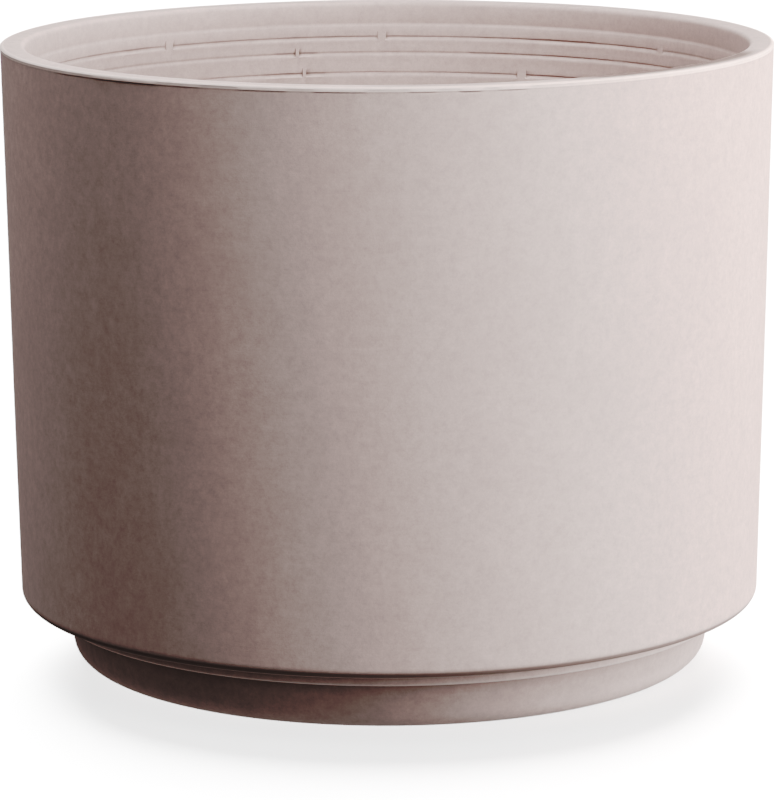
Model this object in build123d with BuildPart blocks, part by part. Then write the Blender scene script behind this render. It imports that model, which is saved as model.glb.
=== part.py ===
from build123d import *
import os
from math import degrees

# A round floor planter in pressed terracotta: a pot with a slightly tapered wall, whose
# stepped-in foot stands inside a recessed saucer. Sizes are in millimetres. The origin is at
# the centre of the saucer's underside, on the floor, with +Z up and +Y to the back.

# Pot, outside
mouth_radius = 200.0
body_base_radius = 194.0
body_height = 291.0
base_bevel = 3.0
wall = 12.5
floor_thickness = 13.0

# Pot, mouth: a narrow lip stands out round its edge
lip_height = 2.2
lip_proud = 0.6
mouth_outer_bevel = 1.0
mouth_inner_bevel = 1.5

# Pot, foot: it narrows downwards a little, and its sole is a ring round a shallow recess
foot_radius = 155.0
foot_draft = 1.5
foot_bevel = 2.0
foot_ring_width = 18.0
foot_recess = 5.0

# Slots across the sole's ring let drained water out into the saucer
weep_slots = 3
weep_slot_width = 12.0
weep_slot_height = 3.5

# Pot, inside: the floor of the well in its foot, the shoulder round that, and the drain
well_corner_bevel = 6.0
shoulder_edge_bevel = 4.0
shoulder_corner_bevel = 8.0
drain_radius = 15.0

# Rings cut into the inside of the wall by the pressing tool, from the mouth down. Each is a
# notch with a level upper side, interrupted by bridges of clay. A bridge is given by its angle
# from the back, in degrees towards +X, and its width.
ring_height = 2.6
rings = [
    {"below_mouth": 19.0, "cut": 1.1, "bridges": [(-40.0, 7.0), (-1.0, 5.0), (52.0, 6.0)]},
    {"below_mouth": 27.7, "cut": 0.9, "bridges": [(-16.0, 2.0)]},
    {"below_mouth": 39.0, "cut": 1.1, "bridges": [(-14.5, 2.0), (23.5, 6.0)]},
]

# Saucer
saucer_height = 31.0
saucer_floor = 9.0
saucer_wall = 10.0
saucer_draft = 1.5
saucer_corner_round = 9.0
collar_height = 5.4
collar_proud = 8.5
collar_lower_bevel = 1.2
sole_ring_width = 22.0
sole_recess = 1.5

# Fits between the two pieces
foot_clearance = 3.0
rim_gap = 2.0

# Levels, upwards from the floor that the saucer stands on
foot_sole = saucer_floor
well_underside = foot_sole + foot_recess
well_floor = well_underside + floor_thickness
body_underside = saucer_height + rim_gap
shoulder_floor = body_underside + floor_thickness
mouth = body_underside + body_height
lip_underside = mouth - lip_height
collar_underside = saucer_height - collar_height

# Radii that follow from the sizes above
foot_root_radius = foot_radius + foot_draft
foot_ring_inside = foot_radius - foot_ring_width
well_radius = foot_radius - wall
well_mouth_radius = foot_root_radius - wall
dish_radius = foot_radius + foot_clearance
dish_mouth_radius = dish_radius + saucer_draft
saucer_base_radius = dish_radius + saucer_wall
saucer_neck_radius = dish_mouth_radius + saucer_wall
collar_radius = saucer_neck_radius + collar_proud
sole_inside = saucer_base_radius - saucer_corner_round - sole_ring_width


def outer_wall(height):
    """The radius of the pot's tapered wall outside, at a height above the floor."""
    top = mouth_radius - lip_proud
    share = (height - body_underside) / (lip_underside - body_underside)
    return body_base_radius + share * (top - body_base_radius)


def inner_wall(height):
    """The radius of the pot's wall inside, which keeps its thickness up the taper."""
    return outer_wall(height) - wall


def corner(profile, radius, height):
    """The corner of a profile that is nearest to a radius and a height."""
    return profile.vertices().sort_by_distance((radius, height))[0]


def arcs_between(bridges, radius):
    """The start and the sweep, in degrees, of each stretch of a ring from bridge to bridge."""
    ends = [(angle, degrees(width / 2 / radius)) for angle, width in bridges]
    first_angle, first_half = ends[0]
    ends.append((first_angle + 360, first_half))
    return [
        (angle + half, (next_angle - next_half) - (angle + half))
        for (angle, half), (next_angle, next_half) in zip(ends, ends[1:])
    ]


# The shoulder limits the bevels at its two sides when it is narrow
shoulder_width = inner_wall(shoulder_floor) - well_mouth_radius
shoulder_edge = min(shoulder_edge_bevel, shoulder_width / 3)
shoulder_corner = min(shoulder_corner_bevel, shoulder_width / 2)

# Pot: its outside is turned first, and then its cavity is turned out of that
with BuildPart() as pot:
    with BuildSketch(Plane.XZ) as outside:
        with BuildLine():
            Polyline(
                (0, well_underside),
                (foot_ring_inside, well_underside),
                (foot_ring_inside, foot_sole),
                (foot_radius, foot_sole),
                (foot_root_radius, body_underside),
                (body_base_radius, body_underside),
                (outer_wall(lip_underside), lip_underside),
                (mouth_radius, lip_underside),
                (mouth_radius, mouth),
                (0, mouth),
                close=True,
            )
        make_face()
        chamfer(corner(outside, foot_radius, foot_sole), foot_bevel)
        chamfer(corner(outside, body_base_radius, body_underside), base_bevel)
        chamfer(corner(outside, mouth_radius, mouth), mouth_outer_bevel)
    revolve(axis=Axis.Z)

    with BuildSketch(Plane.XZ) as cavity:
        with BuildLine():
            Polyline(
                (0, well_floor),
                (well_radius, well_floor),
                (well_mouth_radius, shoulder_floor),
                (inner_wall(shoulder_floor), shoulder_floor),
                (inner_wall(mouth), mouth),
                (0, mouth),
                close=True,
            )
        make_face()
        chamfer(corner(cavity, well_radius, well_floor), well_corner_bevel)
        chamfer(corner(cavity, well_mouth_radius, shoulder_floor), shoulder_edge)
        chamfer(corner(cavity, inner_wall(shoulder_floor), shoulder_floor), shoulder_corner)
    revolve(axis=Axis.Z, mode=Mode.SUBTRACT)

    mouth_edges = pot.edges().filter_by(GeomType.CIRCLE).group_by(Axis.Z)[-1]
    chamfer(mouth_edges.sort_by(SortBy.RADIUS)[0], mouth_inner_bevel)

    with Locations((0, 0, well_floor)):
        Hole(drain_radius, depth=floor_thickness)

    with BuildSketch(Plane.XY.offset(foot_sole)):
        with PolarLocations(foot_radius, weep_slots, start_angle=90):
            Rectangle(2 * foot_ring_width, weep_slot_width)
    extrude(amount=weep_slot_height, mode=Mode.SUBTRACT)

    for ring in rings:
        upper = mouth - ring["below_mouth"]
        lower = upper - ring_height
        for start, sweep in arcs_between(ring["bridges"], inner_wall(upper)):
            # The upright plane through the axis at the arc's start, with its x axis outwards
            with BuildSketch(Plane.XZ.rotated((0, 0, 90 - start))):
                with BuildLine():
                    Polyline(
                        (inner_wall(lower), lower),
                        (inner_wall(upper) + ring["cut"], upper),
                        (inner_wall(upper) - ring["cut"], upper),
                        (inner_wall(lower) - ring["cut"], lower),
                        close=True,
                    )
                make_face()
            revolve(axis=Axis.Z, revolution_arc=-sweep, mode=Mode.SUBTRACT)

pot.part.label = "pot"

# Saucer: a shallow dish with a thick band, the collar, round its rim
with BuildPart() as saucer:
    with BuildSketch(Plane.XZ) as outside:
        with BuildLine():
            Polyline(
                (0, sole_recess),
                (sole_inside, sole_recess),
                (sole_inside, 0),
                (saucer_base_radius, 0),
                (saucer_neck_radius, collar_underside),
                (collar_radius, collar_underside),
                (collar_radius, saucer_height),
                (0, saucer_height),
                close=True,
            )
        make_face()
        fillet(corner(outside, saucer_base_radius, 0), saucer_corner_round)
        chamfer(corner(outside, collar_radius, collar_underside), collar_lower_bevel)
    revolve(axis=Axis.Z)

    with BuildSketch(Plane.XZ):
        with BuildLine():
            Polyline(
                (0, saucer_floor),
                (dish_radius, saucer_floor),
                (dish_mouth_radius, saucer_height),
                (0, saucer_height),
                close=True,
            )
        make_face()
    revolve(axis=Axis.Z, mode=Mode.SUBTRACT)

saucer.part.label = "saucer"

os.makedirs("parts", exist_ok=True)
export_step(pot.part, "parts/pot.step")
export_step(saucer.part, "parts/saucer.step")
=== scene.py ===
import math

import bmesh
import bpy
from bpy.props import FloatProperty, FloatVectorProperty, IntProperty, PointerProperty
from mathutils import Matrix, Vector, noise


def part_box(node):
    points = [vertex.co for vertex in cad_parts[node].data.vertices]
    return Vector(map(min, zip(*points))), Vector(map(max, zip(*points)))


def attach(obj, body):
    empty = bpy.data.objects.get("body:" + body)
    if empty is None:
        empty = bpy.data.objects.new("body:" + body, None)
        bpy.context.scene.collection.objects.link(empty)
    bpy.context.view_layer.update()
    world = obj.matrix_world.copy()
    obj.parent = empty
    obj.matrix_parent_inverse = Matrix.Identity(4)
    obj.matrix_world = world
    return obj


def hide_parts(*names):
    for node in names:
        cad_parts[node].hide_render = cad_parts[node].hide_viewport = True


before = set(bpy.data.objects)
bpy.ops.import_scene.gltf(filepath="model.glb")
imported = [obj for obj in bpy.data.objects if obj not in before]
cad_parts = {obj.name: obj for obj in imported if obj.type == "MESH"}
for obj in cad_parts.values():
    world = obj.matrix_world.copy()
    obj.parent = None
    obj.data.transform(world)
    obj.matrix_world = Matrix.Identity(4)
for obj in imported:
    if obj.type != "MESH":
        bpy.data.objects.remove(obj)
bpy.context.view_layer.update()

# The looks of a round terracotta floor planter: a pot and the saucer that it stands in, turned
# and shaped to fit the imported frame, with their pressed clay, the floor, the lights and the
# camera. Lengths are in metres, and mm turns millimetres into them.

bl_info = {
    "name": "Terracotta planter",
    "version": (1, 0, 0),
    "blender": (4, 5, 0),
    "location": "3D View > Sidebar > Planter",
    "description": "Models a pressed terracotta pot and its saucer, and the studio they stand in",
    "category": "Add Mesh",
}

mm = 0.001
saucer_name = "drip_saucer"

# A turned shape has this many like sectors: the first is spun, and the rest are copies of it
sectors = 30

# Points nearer than weld are one point, and a point nearer to a row than reach is in it
weld = 0.02 * mm
reach = 0.05 * mm

pot_low, pot_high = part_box("pot")
saucer_low, saucer_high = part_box("saucer")

# Sizes that the frame gives
mouth = pot_high.z
mouth_radius = round(pot_high.x, 3)
foot_sole = pot_low.z
saucer_rim = saucer_high.z
collar_radius = round(saucer_high.x, 3)

# The pot outside. Its wall tapers down to the base, where the foot steps in.
body_base_radius = 194 * mm
body_underside = saucer_rim + 2 * mm
lip_height = 2.2 * mm
lip_proud = 0.5 * mm
lip_round = 2.0 * mm
foot_radius = 155 * mm
foot_root_radius = 156.5 * mm
foot_ring_inside = 137 * mm
foot_recess = 5 * mm
weep_slots = 3
weep_slot_width = 12 * mm
weep_slot_height = 3.5 * mm

# The pot inside
wall = 12.5 * mm
floor_thickness = 13 * mm
well_underside = foot_sole + foot_recess
well_floor = well_underside + floor_thickness
shoulder_floor = body_underside + floor_thickness
lip_underside = mouth - lip_height
inner_round = 2.4 * mm

# A row of points this far past a rounded corner keeps its shading off the plain wall
support = 1.2 * mm

# The saucer
saucer_base_radius = 165.5 * mm
saucer_neck_radius = 169.5 * mm
dish_radius = 158 * mm
dish_mouth_radius = 159.5 * mm
sole_inside = 137 * mm
sole_recess = 1.5 * mm

# The random swells of the clay: how long each kind's swells are, and its seed
swells = {
    "ring cut": (14 * mm, 5),
    "ring stray": (3 * mm, 9),
    "lip line": (9 * mm, 21),
    "wall": (130 * mm, 31),
    "rim level": (90 * mm, 37),
}

# A stretch is the two angles that it runs between, in degrees, and its strength. Along the rings
# inside the wall the angles are measured from the back, and along the rim from the front, both
# towards +X.

# Each ring inside is a notch or a softer fold that the pressing tool left: its rows, its depth below
# the mouth, its cut into the wall, the share of the cut where nothing else is said, the stretches
# that are cut otherwise, and the bridges of clay that interrupt it, each with its angle and width.
# A row says how far it lies below the ring's own level, the share of the cut that it has, and how
# much painted shade darkens it.
notch_rows = [
    (-2.6 * mm, 0.0, 0.0),
    (-0.5 * mm, 0.2, 0.0),
    (0.0, 0.3, 0.3),
    (0.5 * mm, 0.9, 0.55),
    (1.1 * mm, 0.7, 0.25),
    (1.8 * mm, 0.1, 0.0),
    (2.5 * mm, -0.3, 0.0),
    (3.6 * mm, 0.0, 0.0),
]
fold_rows = [
    (-2.6 * mm, 0.0, 0.0),
    (-0.7 * mm, 0.8, 0.0),
    (0.2 * mm, 1.0, 0.0),
    (0.9 * mm, 0.3, 0.0),
    (1.7 * mm, 0.0, 0.0),
]
rings = [
    {"rows": fold_rows, "below": 12.2 * mm, "cut": 0.5 * mm, "share": 1.0, "stretches": [], "bridges": []},
    {
        "rows": notch_rows,
        "below": 19.0 * mm,
        "cut": 0.9 * mm,
        "share": 0.8,
        "stretches": [(-60, -42, 0.9), (5, 22, 0.65), (22, 38, 0.8), (38, 51, 0.65), (51, 90, 0.5)],
        "bridges": [(-39.9, 5 * mm), (-0.9, 4.5 * mm), (52.6, 4 * mm)],
    },
    {
        "rows": notch_rows,
        "below": 27.7 * mm,
        "cut": 0.9 * mm,
        "share": 0.5,
        "stretches": [(-19.4, -12.4, 0.9), (14, 35, 0.7), (35, 70, 0.6)],
        "bridges": [(-15.6, 2 * mm)],
    },
    {
        "rows": notch_rows,
        "below": 39.0 * mm,
        "cut": 1.0 * mm,
        "share": 0.5,
        "stretches": [(-21.5, -10.8, 0.9), (10, 22.8, 0.6), (22.8, 180, 0.8)],
        "bridges": [(-14.4, 2 * mm), (23.7, 5 * mm)],
    },
]

# How much a ring's cut varies along it, how far its rows stray up and down, how near a bridge, in
# degrees, its rows run out deeper, and the share of the cut and the added painted shade that they end with
ring_variation = 0.25
ring_stray = 0.18 * mm
ring_end = 0.5
ring_end_share = 0.95
ring_end_shade = 0.6

# The line under the lip, where the mould's two halves met. Its root is darkened with painted shade.
lip_line = [
    (-54, -46, 0.2),
    (-46, -34, 0.45),
    (-34, -27, 0.2),
    (-21, -14, 0.3),
    (-10, -3, 0.3),
    (3, 7, 0.3),
    (10, 13, 0.6),
    (15.5, 19.5, 0.4),
]
lip_line_height = 0.9 * mm
lip_line_root = 0.3 * mm
lip_line_variation = 0.4
lip_line_shade = 0.8

# Where the line fades, the lip below lip_face runs nearly flush with the wall. It stands fully
# proud again where the line has one part in lip_full of its strength.
lip_face = 0.9 * mm
lip_flush = 0.8
lip_full = 1.5

# A line of painted shade on the rim beside its inner edge, by angle from the front, and how wide it is
inner_edge_line = [(-2, 12, 0.4), (12, 30, 0.15), (30, 72, 1.0)]
inner_edge_width = 4.0 * mm

# Painted shade and painted highlight up the round at the wall's lower edge, where 0 is its foot and 1
# its top: the most of each, where it starts and ends, and how soft its ends are. Then the lip's painted
# highlight.
base_shade = (0.8, 0.1, 0.7, 0.3)
base_highlight = (0.6, 0.0, 0.1, 0.1)
lip_highlight = 0.5

# The saucer's rows up its wall, as shares of the way to the collar, closer where the painted shade
# starts, and the painted shade and painted highlight on its collar and below it
saucer_rows = (0.45, 0.7, 0.87, 0.94)
collar_shade = 0.5
collar_shade_height = 3.5 * mm
collar_highlight = 0.6
collar_arris = 0.5 * mm
under_collar_shade = 0.65
under_collar_height = 10 * mm

# How far the swell of the rim goes up and down, and between which heights above the wall's lower
# edge the wall comes to its full swell
rim_swell = 0.2 * mm
swell_from = 5 * mm
swell_to = 60 * mm

# The lamps round the planter: each one's name, its azimuth from the front and its elevation, its
# distance, its width and height in metres, and its power in watts
lamps = [
    ("key", 45, 45, 1.2, 0.6, 0.6, 13),
    ("right strip", 90, 3, 2.5, 1.4, 0.5, 72),
    ("near right strip", 60, 3, 2.5, 1.4, 0.5, 15),
    ("left top", -60, 70, 1.4, 0.7, 0.7, 5.5),
    ("mouth top", -90, 80, 0.6, 0.2, 0.2, 0.8),
    ("front top", 0, 45, 1.4, 0.7, 0.7, 1),
    ("back fill", -120, 35, 2.5, 1.4, 1.4, 12),
]

# The floor, the light that comes up from it, and the surround that the camera sees
floor_radius = 30
floor_bounce = 0.23
surround_white = 2.0

# The lights that the floor alone takes, far off like two suns: each one's name, its azimuth and
# elevation, how wide it spreads, its share of the light on the floor, and the one object that can
# shade it. The low one behind draws the saucer's soft shadow out to the front.
floor_lamps = [
    ("ceiling", 0, 90, math.radians(60), 0.61, "floor"),
    ("low back", 180, 20, math.radians(32), 0.39, saucer_name),
]

# The tone curve: the light that becomes white, and shares of it with the tones that they become
white_tone = 1.6
tones = [(0.03, 0.02), (0.057, 0.1), (0.116, 0.3), (0.229, 0.5), (0.479, 0.7), (0.794, 0.9)]


def linear(hex_colour):
    """The linear colour of an sRGB hex value."""
    shares = [int(hex_colour[place : place + 2], 16) / 255 for place in (1, 3, 5)]
    return [s / 12.92 if s <= 0.04045 else ((s + 0.055) / 1.055) ** 2.4 for s in shares]


def outer_wall(height):
    """The radius of the pot's tapered wall outside, at a height above the floor."""
    share = (height - body_underside) / (lip_underside - body_underside)
    return body_base_radius + share * (mouth_radius - lip_proud - body_base_radius)


def inner_wall(height):
    """The radius of the pot's wall inside."""
    return outer_wall(height) - wall


def span(value, low, high):
    """How far a value has come from low to high, from 0 to 1."""
    return min(max((value - low) / (high - low), 0.0), 1.0)


def window(angle, low, high, soft):
    """1 from the angle low to the angle high, and 0 outside them, with soft ends."""
    share = span(min(angle - low, high - angle), -soft / 2, soft / 2)
    return share * share * (3 - 2 * share)


def band(value, most, low, high, soft):
    """The most of a shade or a rubbing from low to high, and 0 outside them, with soft ends."""
    return most * window(value, low, high, soft)


def strength(angle, stretches, base=0.0, soft=0.8):
    """The strength at an angle of a line that has a base strength and stretches of its own."""
    share = base
    for low, high, own in stretches:
        share += (own - base) * window(angle, low, high, soft)
    return share


def waver(kind, angle, height):
    """A smooth random value from -1 to 1 round the pot, with the swells of its kind."""
    width, seed = swells[kind]
    turn = math.radians(angle)
    place = Vector((math.cos(turn), math.sin(turn), 0)) * mouth_radius
    place.z = height
    return noise.noise(place / width + Vector((seed, seed, seed)))


def turned(outline, steps, closed):
    """A bmesh of an outline, given as radii and heights, turned once round the Z axis. One sector
    is spun, and then copied round."""
    bm = bmesh.new()
    points = [bm.verts.new((radius, 0, height)) for radius, height in outline]
    after = points[1:] + points[:1] if closed else points[1:]
    edges = [bm.edges.new(pair) for pair in zip(points, after)]
    centre, axis = (0, 0, 0), (0, 0, 1)
    sector = math.tau / sectors
    bmesh.ops.spin(bm, geom=points + edges, cent=centre, axis=axis, angle=sector, steps=steps // sectors)
    bmesh.ops.spin(
        bm,
        geom=bm.verts[:] + bm.edges[:] + bm.faces[:],
        cent=centre,
        axis=axis,
        angle=math.tau - sector,
        steps=sectors - 1,
        use_duplicate=True,
    )
    bmesh.ops.remove_doubles(bm, verts=bm.verts, dist=weld)
    bmesh.ops.recalc_face_normals(bm, faces=bm.faces)
    return bm


def round_edges(bm, corners):
    """Rounds the edges that run round the axis through some corners. Each corner is a radius, a
    height, the size of its round and the number of faces across it."""
    loops = [[] for _ in corners]
    for edge in bm.edges:
        low, high = (vert.co for vert in edge.verts)
        if abs(low.z - high.z) > weld or abs(low.xy.length - high.xy.length) > weld:
            continue
        for loop, (radius, height, _, _) in zip(loops, corners):
            if abs(low.z - height) < weld and abs(low.xy.length - radius) < weld:
                loop.append(edge)
    for loop, (radius, height, size, segments) in zip(loops, corners):
        if not loop:
            raise RuntimeError(f"no edges run through the corner at {radius}, {height}")
        bmesh.ops.bevel(
            bm,
            geom=loop,
            offset=size,
            offset_type="OFFSET",
            segments=segments,
            profile=0.5,
            affect="EDGES",
            material=-1,
        )


def crisp_columns(steps, sides):
    """The angle of each column of points round the axis, in degrees from the back. Beside each of
    the given sides of a bridge or a slot, two columns are drawn together."""
    step = 360 / steps
    beside = 0.04
    angles = [column * step for column in range(steps)]
    last = -1
    for side in sorted(side % 360 for side in sides):
        column = max(int(side / step), last + 1)
        angles[column % steps] = side - beside
        angles[(column + 1) % steps] = side + beside
        last = column + 1
    return angles


def move_columns(bm, angles):
    """Turns each column of points about the axis to its own angle."""
    step = 360 / len(angles)
    for vert in bm.verts:
        angle = math.degrees(math.atan2(vert.co.x, vert.co.y)) % 360
        column = round(angle / step) % len(angles)
        turn = math.radians(angles[column])
        radius = vert.co.xy.length
        vert.co.x = radius * math.sin(turn)
        vert.co.y = radius * math.cos(turn)


def bridge_sides(angle, width, radius):
    """The angles of a bridge's two sides."""
    half = math.degrees(width / 2 / radius)
    return angle - half, angle + half


def add_piece(bm, name, body, node, material):
    """Makes the bmesh an object that rides on a body and stands for a node of the frame."""
    mesh = bpy.data.meshes.new(name)
    bm.to_mesh(mesh)
    bm.free()
    mesh.materials.append(material)
    mesh.shade_smooth()
    mesh.set_sharp_from_angle(angle=math.radians(40))
    piece = bpy.data.objects.new(name, mesh)
    bpy.context.scene.collection.objects.link(piece)
    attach(piece, body)
    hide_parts(node)
    return piece


def pot_outline(settings):
    """The pot's outline, from the drain hole outwards, up the wall, over the rim and back inside."""
    outline = [
        (settings.drain_radius, well_underside),
        (foot_ring_inside, well_underside),
        (foot_ring_inside, foot_sole),
        (foot_radius, foot_sole),
        (foot_root_radius, body_underside),
        (body_base_radius, body_underside),
    ]
    line_bottom = lip_underside - lip_line_height
    inner_edge = inner_wall(mouth) + inner_round
    wall_bottom = body_underside + settings.base_round + support
    wall_top = line_bottom - support
    wall_rows = 8
    for row in range(wall_rows + 1):
        height = wall_bottom + (wall_top - wall_bottom) * row / wall_rows
        outline.append((outer_wall(height), height))
    outline += [
        (outer_wall(line_bottom), line_bottom),
        (outer_wall(lip_underside), lip_underside - lip_line_root),
        (mouth_radius, lip_underside),
        (mouth_radius, mouth),
        (inner_edge + 2 * inner_edge_width, mouth),
        (inner_edge + inner_edge_width, mouth),
        (inner_wall(mouth), mouth),
        (inner_wall(mouth - inner_round - support), mouth - inner_round - support),
    ]
    for ring in rings:
        for offset, _, _ in ring["rows"]:
            height = mouth - ring["below"] - offset
            outline.append((inner_wall(height), height))
    lowest = outline[-1][1]
    plain_rows = 6
    for row in range(1, plain_rows):
        height = lowest + (shoulder_floor - lowest) * row / plain_rows
        outline.append((inner_wall(height), height))
    outline += [
        (inner_wall(shoulder_floor), shoulder_floor),
        (foot_root_radius - wall, shoulder_floor),
        (foot_radius - wall, well_floor),
        (settings.drain_radius, well_floor),
    ]
    return outline


def press_rings(bm, shade_mask):
    """Cuts the rings into the inside of the pot's wall, by moving the rows that are kept for them, and
    paints shade into them.
    """
    key_step = 0.01 * mm
    rows = {}
    for ring in rings:
        for offset, share, shade in ring["rows"]:
            rows[round((mouth - ring["below"] - offset) / key_step)] = ring, share, shade
    for vert in bm.verts:
        radius = vert.co.xy.length
        row = rows.get(round(vert.co.z / key_step))
        if row is None or abs(radius - inner_wall(vert.co.z)) > reach:
            continue
        ring, share, shade = row
        angle = math.degrees(math.atan2(vert.co.x, vert.co.y))
        cut = strength(angle, ring["stretches"], ring["share"])
        cut *= 1 + ring_variation * waver("ring cut", angle, vert.co.z)
        nearest = 180.0
        for bridge_angle, width in ring["bridges"]:
            low, high = bridge_sides(bridge_angle, width, radius)
            if low < angle < high:
                cut = 0.0
            nearest = min(nearest, abs(angle - low), abs(angle - high))
        end = max(0.0, 1 - nearest / ring_end)
        if 0 < share < 1:
            share += (ring_end_share - share) * end
            shade += ring_end_shade * end
        moved = (radius + ring["cut"] * cut * share) / radius
        vert.co.x *= moved
        vert.co.y *= moved
        vert.co.z += ring_stray * cut * waver("ring stray", angle, vert.co.z)
        # Painted shade in the ring, stronger where the cut is deeper
        vert[shade_mask] = min(1.0, shade * cut * cut)


def press_lip(bm, shade_mask, line_depth):
    """Sinks the line under the lip and paints shade into it, and lets the lip run flush with the wall where
    it fades.
    """
    root_row = lip_underside - lip_line_root
    for vert in bm.verts:
        radius = vert.co.xy.length
        if radius < mouth_radius - wall / 2 or vert.co.z < root_row - reach:
            continue
        angle = math.degrees(math.atan2(vert.co.x, -vert.co.y))
        share = strength(angle, lip_line) * (1 + lip_line_variation * waver("lip line", angle, 0))
        inwards = 0.0
        if abs(vert.co.z - root_row) < reach:
            inwards = line_depth * share
            # Painted shade along the line's root
            vert[shade_mask] = min(1.0, lip_line_shade * share)
        elif vert.co.z < mouth - lip_face:
            inwards = lip_proud * lip_flush * (1 - min(1.0, share * lip_full))
        moved = (radius - inwards) / radius
        vert.co.x *= moved
        vert.co.y *= moved


def cut_weep_slots(bm):
    """Lifts the sole's ring where the slots that let water out cross it."""
    for vert in bm.verts:
        radius = vert.co.xy.length
        if vert.co.z > foot_sole + weep_slot_height or not foot_ring_inside - mm < radius < foot_radius + mm:
            continue
        angle = math.degrees(math.atan2(vert.co.x, vert.co.y))
        for slot in range(weep_slots):
            off = (angle - 360 * slot / weep_slots + 180) % 360 - 180
            low, high = bridge_sides(0, weep_slot_width, foot_radius)
            if low < off < high:
                vert.co.z = foot_sole + weep_slot_height


def paint_shade_and_highlights(bm, shade_mask, base_round):
    """Paints shade on the round at the wall's lower edge and on the line on the rim, and paints highlights
    on the edges that stand out."""
    highlight_mask = bm.verts.layers.float.new("highlight_mask")
    line_middle = inner_wall(mouth) + inner_round + inner_edge_width / 2
    for vert in bm.verts:
        radius = vert.co.xy.length
        height = vert.co.z
        if radius > foot_root_radius + 10 * mm and height < body_underside + base_round + 0.1 * mm:
            up = (height - body_underside) / base_round
            # Painted shade and painted highlight up the round at the wall's lower edge
            vert[shade_mask] = band(up, *base_shade)
            vert[highlight_mask] = band(up, *base_highlight)
        elif height > mouth - lip_round - 0.1 * mm and radius > mouth_radius - lip_round - 0.5 * mm:
            # A painted highlight on the lip
            vert[highlight_mask] = lip_highlight
        elif height > mouth - 0.1 * mm and abs(radius - line_middle) < 0.6 * inner_edge_width:
            angle = math.degrees(math.atan2(vert.co.x, -vert.co.y))
            # A line of painted shade on the rim beside its inner edge
            vert[shade_mask] = strength(angle, inner_edge_line, soft=8)


def settle_wall(bm, swell):
    """Gives the wall the slight waver that drying and firing leave, which fades towards the foot."""
    for vert in bm.verts:
        share = span(vert.co.z, body_underside + swell_from, body_underside + swell_to)
        if share == 0:
            continue
        angle = math.degrees(math.atan2(vert.co.x, vert.co.y))
        radius = vert.co.xy.length
        moved = (radius + swell * share * waver("wall", angle, vert.co.z)) / radius
        vert.co.x *= moved
        vert.co.y *= moved
        vert.co.z += rim_swell * share**4 * waver("rim level", angle, 0)


def make_pot(settings):
    """The pot, turned from its outline, with its rings, its lip and its slots shaped afterwards."""
    bm = turned(pot_outline(settings), settings.steps, closed=True)
    round_edges(
        bm,
        [
            (settings.drain_radius, well_underside, 1.0 * mm, 2),
            (foot_ring_inside, foot_sole, 1.0 * mm, 2),
            (foot_radius, foot_sole, 2.0 * mm, 3),
            (body_base_radius, body_underside, settings.base_round, 7),
            (mouth_radius, mouth, lip_round, 5),
            (inner_wall(mouth), mouth, inner_round, 5),
            (inner_wall(shoulder_floor), shoulder_floor, 10.0 * mm, 6),
            (foot_root_radius - wall, shoulder_floor, 4.0 * mm, 4),
            (foot_radius - wall, well_floor, 7.0 * mm, 5),
            (settings.drain_radius, well_floor, 1.5 * mm, 3),
        ],
    )
    sides = []
    for ring in rings:
        for angle, width in ring["bridges"]:
            sides += bridge_sides(angle, width, inner_wall(mouth))
    for slot in range(weep_slots):
        sides += bridge_sides(360 * slot / weep_slots, weep_slot_width, foot_radius)
    move_columns(bm, crisp_columns(settings.steps, sides))
    shade_mask = bm.verts.layers.float.new("shade_mask")
    press_rings(bm, shade_mask)
    press_lip(bm, shade_mask, settings.lip_line_depth)
    cut_weep_slots(bm)
    paint_shade_and_highlights(bm, shade_mask, settings.base_round)
    settle_wall(bm, settings.swell)
    return bm


def make_saucer(settings, steps):
    """The saucer, a shallow dish with the collar round its rim, turned from its outline."""
    collar_underside = saucer_rim - settings.collar_height
    wall_rows = [
        (saucer_base_radius + share * (saucer_neck_radius - saucer_base_radius), share * collar_underside)
        for share in saucer_rows
    ]
    bm = turned(
        [
            (0, sole_recess),
            (sole_inside, sole_recess),
            (sole_inside, 0),
            (saucer_base_radius, 0),
            *wall_rows,
            (saucer_neck_radius, collar_underside),
            (collar_radius, collar_underside),
            (collar_radius, saucer_rim - 3 * mm),
            (collar_radius, saucer_rim),
            (dish_mouth_radius, saucer_rim),
            (dish_radius, foot_sole),
            (0, foot_sole),
        ],
        steps,
        closed=False,
    )
    round_edges(
        bm,
        [
            (sole_inside, 0, 1.0 * mm, 2),
            (saucer_base_radius, 0, settings.base_round, 10),
            (saucer_neck_radius, collar_underside, 1.0 * mm, 3),
            (collar_radius, collar_underside, settings.collar_round, 5),
            (collar_radius, saucer_rim, 0.8 * mm, 3),
            (dish_mouth_radius, saucer_rim, 1.0 * mm, 3),
            (dish_radius, foot_sole, 2.0 * mm, 3),
        ],
    )
    shade_mask = bm.verts.layers.float.new("shade_mask")
    highlight_mask = bm.verts.layers.float.new("highlight_mask")
    for vert in bm.verts:
        radius = vert.co.xy.length
        height = vert.co.z
        if radius > collar_radius - 2 * mm:
            from_arris = abs(height - collar_underside - collar_arris)
            # Painted shade on the collar, darker towards its top, and a painted highlight along its lower
            # arris
            vert[shade_mask] = collar_shade * span(height, saucer_rim - collar_shade_height, saucer_rim)
            vert[highlight_mask] = collar_highlight * (1 - span(from_arris, 0.4 * collar_arris, 2 * collar_arris))
        elif radius > dish_mouth_radius and height < collar_underside + reach:
            shade_from = collar_underside - under_collar_height
            # Painted shade on the wall under the collar, darker towards the collar
            vert[shade_mask] = under_collar_shade * span(height, shade_from, collar_underside)
    return bm


def add_node(tree, kind, inputs=None, **settings):
    """Adds a node with its settings. An input that comes from another node is linked, and any
    other is set on its socket."""
    node = tree.nodes.new(kind)
    for name, value in settings.items():
        setattr(node, name, value)
    for socket, value in (inputs or {}).items():
        if isinstance(value, bpy.types.NodeSocket):
            tree.links.new(value, node.inputs[socket])
        else:
            node.inputs[socket].default_value = value
    return node


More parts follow.
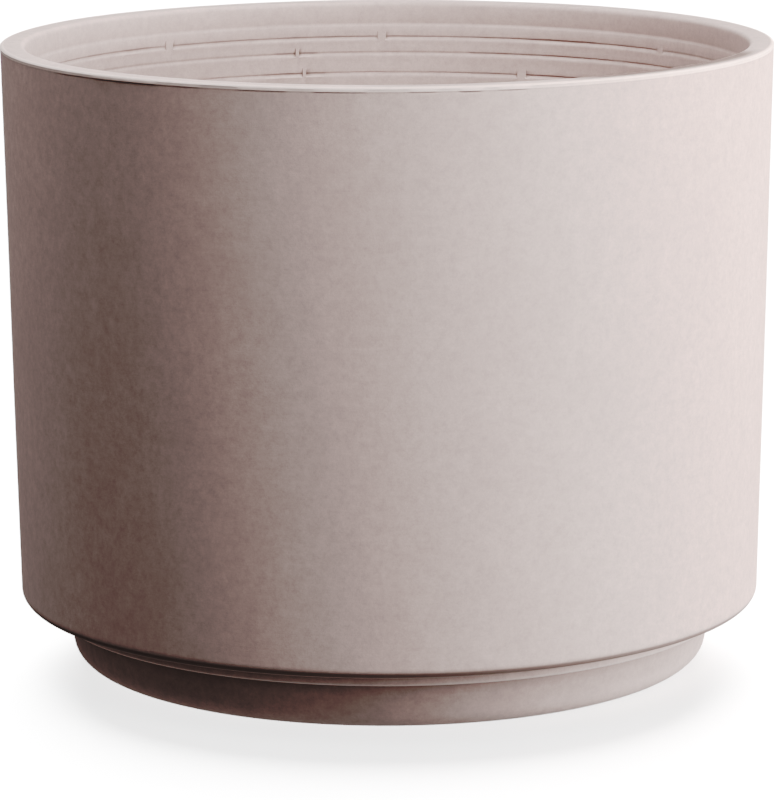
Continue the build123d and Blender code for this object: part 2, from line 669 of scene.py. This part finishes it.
def pressed_terracotta(name, clay, seed):
    """Unglazed terracotta, pressed in a plaster mould, sponged and fired: matt and chalky, with soft
    clouds of pale bloom, level streaks from the sponge and a fine sandy grain. Its attributes add painted
    shade and painted highlights."""
    material = bpy.data.materials.new(name)
    material.use_nodes = True
    tree = material.node_tree
    tree.nodes.clear()
    place = add_node(tree, "ShaderNodeTexCoord").outputs["Object"]
    # The piece's painted shade and painted highlight, point by point
    shade_mask = add_node(tree, "ShaderNodeAttribute", attribute_name="shade_mask").outputs["Fac"]
    highlight_mask = add_node(tree, "ShaderNodeAttribute", attribute_name="highlight_mask").outputs["Fac"]

    # Each veil of colour over the clay: the width of its largest blots, how far they are drawn out
    # level, how many finer sizes they have and how strong those are, the noise levels between which
    # the veil comes in, its share at most, and its colour. The last is the sandy grain, which is
    # drawn coarser than real because the real one is too fine to show.
    veils = [
        (110 * mm, 1, 3, 0.55, 0.35, 0.65, 0.30, clay.bloom),
        (38 * mm, 1, 3, 0.55, 0.40, 0.70, 0.20, clay.shade),
        (14 * mm, 1, 2, 0.60, 0.40, 0.65, 0.20, clay.bloom),
        (1.2 * mm, 45, 2, 0.55, 0.45, 0.75, 0.06, clay.shade),
        (5.5 * mm, 1, 5, 0.92, 0.30, 0.70, 0.95, clay.shade),
    ]
    colour = [*clay.body, 1]
    fields = []
    for number, (width, drawn_out, sizes, finer, low, high, share, veil_colour) in enumerate(veils):
        moved = add_node(
            tree,
            "ShaderNodeMapping",
            {
                "Vector": place,
                "Location": [seed + 3.7 * number] * 3,
                "Scale": (1 / (width * drawn_out), 1 / (width * drawn_out), 1 / width),
            },
        )
        field = add_node(
            tree,
            "ShaderNodeTexNoise",
            {"Vector": moved.outputs["Vector"], "Scale": 1.0, "Detail": sizes, "Roughness": finer},
        ).outputs["Fac"]
        amount = add_node(
            tree,
            "ShaderNodeMapRange",
            {"Value": field, "From Min": low, "From Max": high, "To Min": 0.0, "To Max": share},
        )
        mixed = add_node(
            tree,
            "ShaderNodeMix",
            {0: amount.outputs["Result"], 6: colour, 7: [*veil_colour, 1]},
            data_type="RGBA",
        )
        colour = mixed.outputs[2]
        fields.append(field)

    # Painted shade darkens the rings, the line under the lip, the wall's lower round, a line on the rim, the
    # collar and the saucer's wall under it, and painted highlights pale the edges that stand out
    dark = add_node(
        tree,
        "ShaderNodeMix",
        {0: shade_mask, 6: colour, 7: [*clay.painted_shade, 1]},
        data_type="RGBA",
    )
    painted_highlight = add_node(
        tree,
        "ShaderNodeMix",
        {0: highlight_mask, 6: dark.outputs[2], 7: [*clay.painted_highlight, 1]},
        data_type="RGBA",
    )
    grain, streaks = fields[4], fields[3]
    relief = add_node(tree, "ShaderNodeMath", {0: streaks, 1: 0.2, 2: grain}, operation="MULTIPLY_ADD")
    bump = add_node(
        tree,
        "ShaderNodeBump",
        {"Height": relief.outputs["Value"], "Strength": 0.5, "Distance": 0.25 * mm},
    )
    shader = add_node(
        tree,
        "ShaderNodeBsdfPrincipled",
        {
            "Base Color": painted_highlight.outputs[2],
            "Roughness": 0.92,
            "Diffuse Roughness": 0.25,
            "IOR": 1.45,
            "Normal": bump.outputs["Normal"],
        },
    )
    output = add_node(tree, "ShaderNodeOutputMaterial", {"Surface": shader.outputs["BSDF"]})
    output.is_active_output = True
    return material


def aimed(name, lamp, azimuth, elevation, distance):
    """A lamp's object, aimed at the planter. Azimuth 0 is in front and 90 at the right."""
    around, above = math.radians(azimuth), math.radians(elevation)
    away = Vector((math.sin(around) * math.cos(above), -math.cos(around) * math.cos(above), math.sin(above)))
    source = bpy.data.objects.new(name, lamp)
    bpy.context.scene.collection.objects.link(source)
    source.location = Vector((0, 0, mouth / 2)) + away * distance
    source.rotation_mode = "QUATERNION"
    source.rotation_quaternion = away.to_track_quat("Z", "Y")
    source.visible_camera = False
    return source


def soft_box(name, azimuth, elevation, distance, width, height, power, floor):
    """A soft rectangular lamp that lights everything but the floor."""
    lamp = bpy.data.lights.new(name, "AREA")
    lamp.shape = "RECTANGLE"
    lamp.size = width
    lamp.size_y = height
    lamp.energy = power
    box = aimed(name, lamp, azimuth, elevation, distance)
    box.light_linking.receiver_collection = linked(name + " receivers", floor, "EXCLUDE")


def linked(name, piece, state):
    """A collection that tells a lamp to take in a piece, or to leave it out."""
    collection = bpy.data.collections.new(name)
    collection.objects.link(piece)
    collection.collection_objects[0].light_linking.link_state = state
    return collection


def make_floor():
    """A large matt white floor. It takes the planter's shadow, but throws no light back up."""
    bm = bmesh.new()
    bmesh.ops.create_circle(bm, cap_ends=True, radius=floor_radius, segments=128)
    mesh = bpy.data.meshes.new("floor")
    bm.to_mesh(mesh)
    bm.free()
    # A board painted matt white gives an even, bright ground with no sheen
    material = bpy.data.materials.new("matt white painted board")
    material.use_nodes = True
    shader = material.node_tree.nodes["Principled BSDF"]
    shader.inputs["Base Color"].default_value = [*linear("#F2F2F2"), 1]
    shader.inputs["Roughness"].default_value = 1.0
    shader.inputs["Specular IOR Level"].default_value = 0.0
    mesh.materials.append(material)
    floor = bpy.data.objects.new("floor", mesh)
    bpy.context.scene.collection.objects.link(floor)
    floor.visible_diffuse = False
    floor.visible_glossy = False
    return floor


def floor_lamp(name, azimuth, elevation, spread, irradiance, floor, blocker):
    """A far lamp for the floor alone, where one object at most shades it."""
    lamp = bpy.data.lights.new(name, "SUN")
    lamp.energy = irradiance / math.sin(math.radians(elevation))
    lamp.angle = spread
    sun = aimed(name, lamp, azimuth, elevation, 3)
    sun.light_linking.receiver_collection = linked(name + " receivers", floor, "INCLUDE")
    sun.light_linking.blocker_collection = linked(name + " blockers", blocker, "INCLUDE")


def make_world():
    """A white surround for the camera. What it lights the planter with comes from below only, as
    the pale floor's bounce."""
    world = bpy.data.worlds.new("studio")
    world.use_nodes = True
    tree = world.node_tree
    direction = add_node(tree, "ShaderNodeTexCoord").outputs["Generated"]
    height = add_node(tree, "ShaderNodeSeparateXYZ", {"Vector": direction}).outputs["Z"]
    below = add_node(tree, "ShaderNodeMath", {0: height, 1: 0.0}, operation="LESS_THAN").outputs["Value"]
    bounce = add_node(tree, "ShaderNodeMath", {0: below, 1: floor_bounce}, operation="MULTIPLY")
    seen = add_node(tree, "ShaderNodeLightPath").outputs["Is Camera Ray"]
    strength_for = add_node(
        tree,
        "ShaderNodeMapRange",
        {"Value": seen, "To Min": bounce.outputs["Value"], "To Max": surround_white},
    )
    background = tree.nodes["Background"]
    background.inputs["Color"].default_value = (1, 1, 1, 1)
    tree.links.new(strength_for.outputs["Result"], background.inputs["Strength"])
    bpy.context.scene.world = world


def set_tones():
    """The photograph's tones: the clay's shades run from dark to nearly white, with the lights
    drawn together."""
    view = bpy.context.scene.view_settings
    view.view_transform = "Standard"
    view.use_curve_mapping = True
    mapping = view.curve_mapping
    mapping.white_level = [white_tone] * 3
    curve = mapping.curves[3]
    curve.points[0].location = (0, 0)
    curve.points[1].location = (1, 1)
    for light, tone in tones:
        curve.points.new(light, tone)
    mapping.update()


def make_camera(settings):
    """The camera where the photograph's perspective puts it, rolled a little about its line of sight."""
    camera = bpy.data.cameras.new("camera")
    camera.sensor_width = 36
    camera.lens = settings.lens
    camera.clip_end = 100
    taker = bpy.data.objects.new("camera", camera)
    bpy.context.scene.collection.objects.link(taker)
    place = Matrix.Translation((0, -settings.camera_distance, settings.camera_height))
    tilt = Matrix.Rotation(math.radians(90) - settings.camera_tilt, 4, "X")
    roll = Matrix.Rotation(settings.camera_roll, 4, "Z")
    taker.matrix_world = place @ tilt @ roll
    bpy.context.scene.camera = taker


def length(name, description, default):
    """A property for a length."""
    return FloatProperty(name=name, description=description, default=default, unit="LENGTH")


def colour(name, description, hex_colour):
    """A property for a colour."""
    return FloatVectorProperty(
        name=name,
        description=description,
        default=linear(hex_colour),
        subtype="COLOR",
        size=3,
        min=0,
        max=1,
    )


class ClaySettings(bpy.types.PropertyGroup):
    body: colour("Body", "The fired clay", "#C2AFAA")
    bloom: colour("Bloom", "The pale bloom that salts leave on it", "#CEBBB6")
    shade: colour("Shade", "The darker grain and clouds", "#AC9B97")
    # This colour is painted shade: it darkens the rings, the line under the lip, the wall's lower round, a
    # line on the rim, the collar and the saucer's wall under it
    painted_shade: colour("Painted shade", "What gathers in the rings and under the edges", "#746560")
    # This colour is a painted highlight on the edges that stand out: the wall's foot, the lip and the
    # collar's lower arris
    painted_highlight: colour("Painted highlight", "The edges that stand out", "#D9CCC7")


class PotSettings(bpy.types.PropertyGroup):
    steps: IntProperty(
        name="Steps",
        description="How many faces go round the pot and the saucer, in thirties",
        default=960,
        min=300,
        step=30,
    )
    base_round: length("Base round", "The round at the wall's lower edge", 5 * mm)
    drain_radius: length("Drain radius", "The radius of the drain hole", 15 * mm)
    lip_line_depth: length("Lip line depth", "How far the line under the lip is sunk", 0.5 * mm)
    swell: length("Swell", "How far the fired wall swells in and out", 0.25 * mm)


class SaucerSettings(bpy.types.PropertyGroup):
    collar_height: length("Collar height", "The height of the band round the rim", 5.4 * mm)
    collar_round: length("Collar round", "The round at the collar's lower edge", 1.6 * mm)
    base_round: length("Base round", "The round at the saucer's lower edge", 10 * mm)


class StageSettings(bpy.types.PropertyGroup):
    floor_light: FloatProperty(
        name="Floor light", description="On the floor, in watts a square metre", default=5.95, min=0
    )
    lens: FloatProperty(name="Lens", description="The camera's lens in millimetres", default=194.7)
    camera_distance: length("Camera distance", "From the planter's axis", 2.233)
    camera_height: length("Camera height", "Above the floor", 0.5776)
    camera_tilt: FloatProperty(
        name="Camera tilt", description="Downwards", default=math.radians(11.24), unit="ROTATION"
    )
    camera_roll: FloatProperty(
        name="Camera roll",
        description="About its line of sight",
        default=math.radians(-0.25),
        unit="ROTATION",
    )


class PLANTER_OT_pot(bpy.types.Operator):
    """Models the pot"""

    bl_idname = "planter.pot"
    bl_label = "Pot"

    def execute(self, context):
        clay = pressed_terracotta("pressed terracotta, pot", context.scene.planter_clay, seed=0.0)
        pot = make_pot(context.scene.planter_pot)
        add_piece(pot, "planting_pot", "pot", "pot", clay)
        return {"FINISHED"}


class PLANTER_OT_saucer(bpy.types.Operator):
    """Models the saucer"""

    bl_idname = "planter.saucer"
    bl_label = "Saucer"

    def execute(self, context):
        clay = pressed_terracotta("pressed terracotta, saucer", context.scene.planter_clay, seed=40.0)
        saucer = make_saucer(context.scene.planter_saucer, context.scene.planter_pot.steps)
        add_piece(saucer, saucer_name, "saucer", "saucer", clay)
        return {"FINISHED"}


class PLANTER_OT_stage(bpy.types.Operator):
    """Sets up the floor, the lights and the camera"""

    bl_idname = "planter.stage"
    bl_label = "Stage"

    def execute(self, context):
        settings = context.scene.planter_stage
        floor = make_floor()
        for name, azimuth, elevation, spread, share, blocker_name in floor_lamps:
            blocker = bpy.data.objects[blocker_name]
            floor_lamp(name, azimuth, elevation, spread, share * settings.floor_light, floor, blocker)
        for lamp in lamps:
            soft_box(*lamp, floor)
        make_world()
        make_camera(settings)
        set_tones()
        return {"FINISHED"}


class PLANTER_PT_panel(bpy.types.Panel):
    """Lists the planter's parts"""

    bl_label = "Terracotta planter"
    bl_space_type = "VIEW_3D"
    bl_region_type = "UI"
    bl_category = "Planter"

    def draw(self, context):
        for operator in operators:
            self.layout.operator(operator.bl_idname)


operators = [PLANTER_OT_pot, PLANTER_OT_saucer, PLANTER_OT_stage]
groups = {
    "planter_clay": ClaySettings,
    "planter_pot": PotSettings,
    "planter_saucer": SaucerSettings,
    "planter_stage": StageSettings,
}
classes = [*groups.values(), *operators, PLANTER_PT_panel]


def register():
    for cls in classes:
        bpy.utils.register_class(cls)
    for name, group in groups.items():
        setattr(bpy.types.Scene, name, PointerProperty(type=group))


def unregister():
    for name in groups:
        delattr(bpy.types.Scene, name)
    for cls in reversed(classes):
        bpy.utils.unregister_class(cls)


def main():
    register()
    bpy.ops.planter.pot()
    bpy.ops.planter.saucer()
    bpy.ops.planter.stage()


if __name__ == "__main__":
    main()
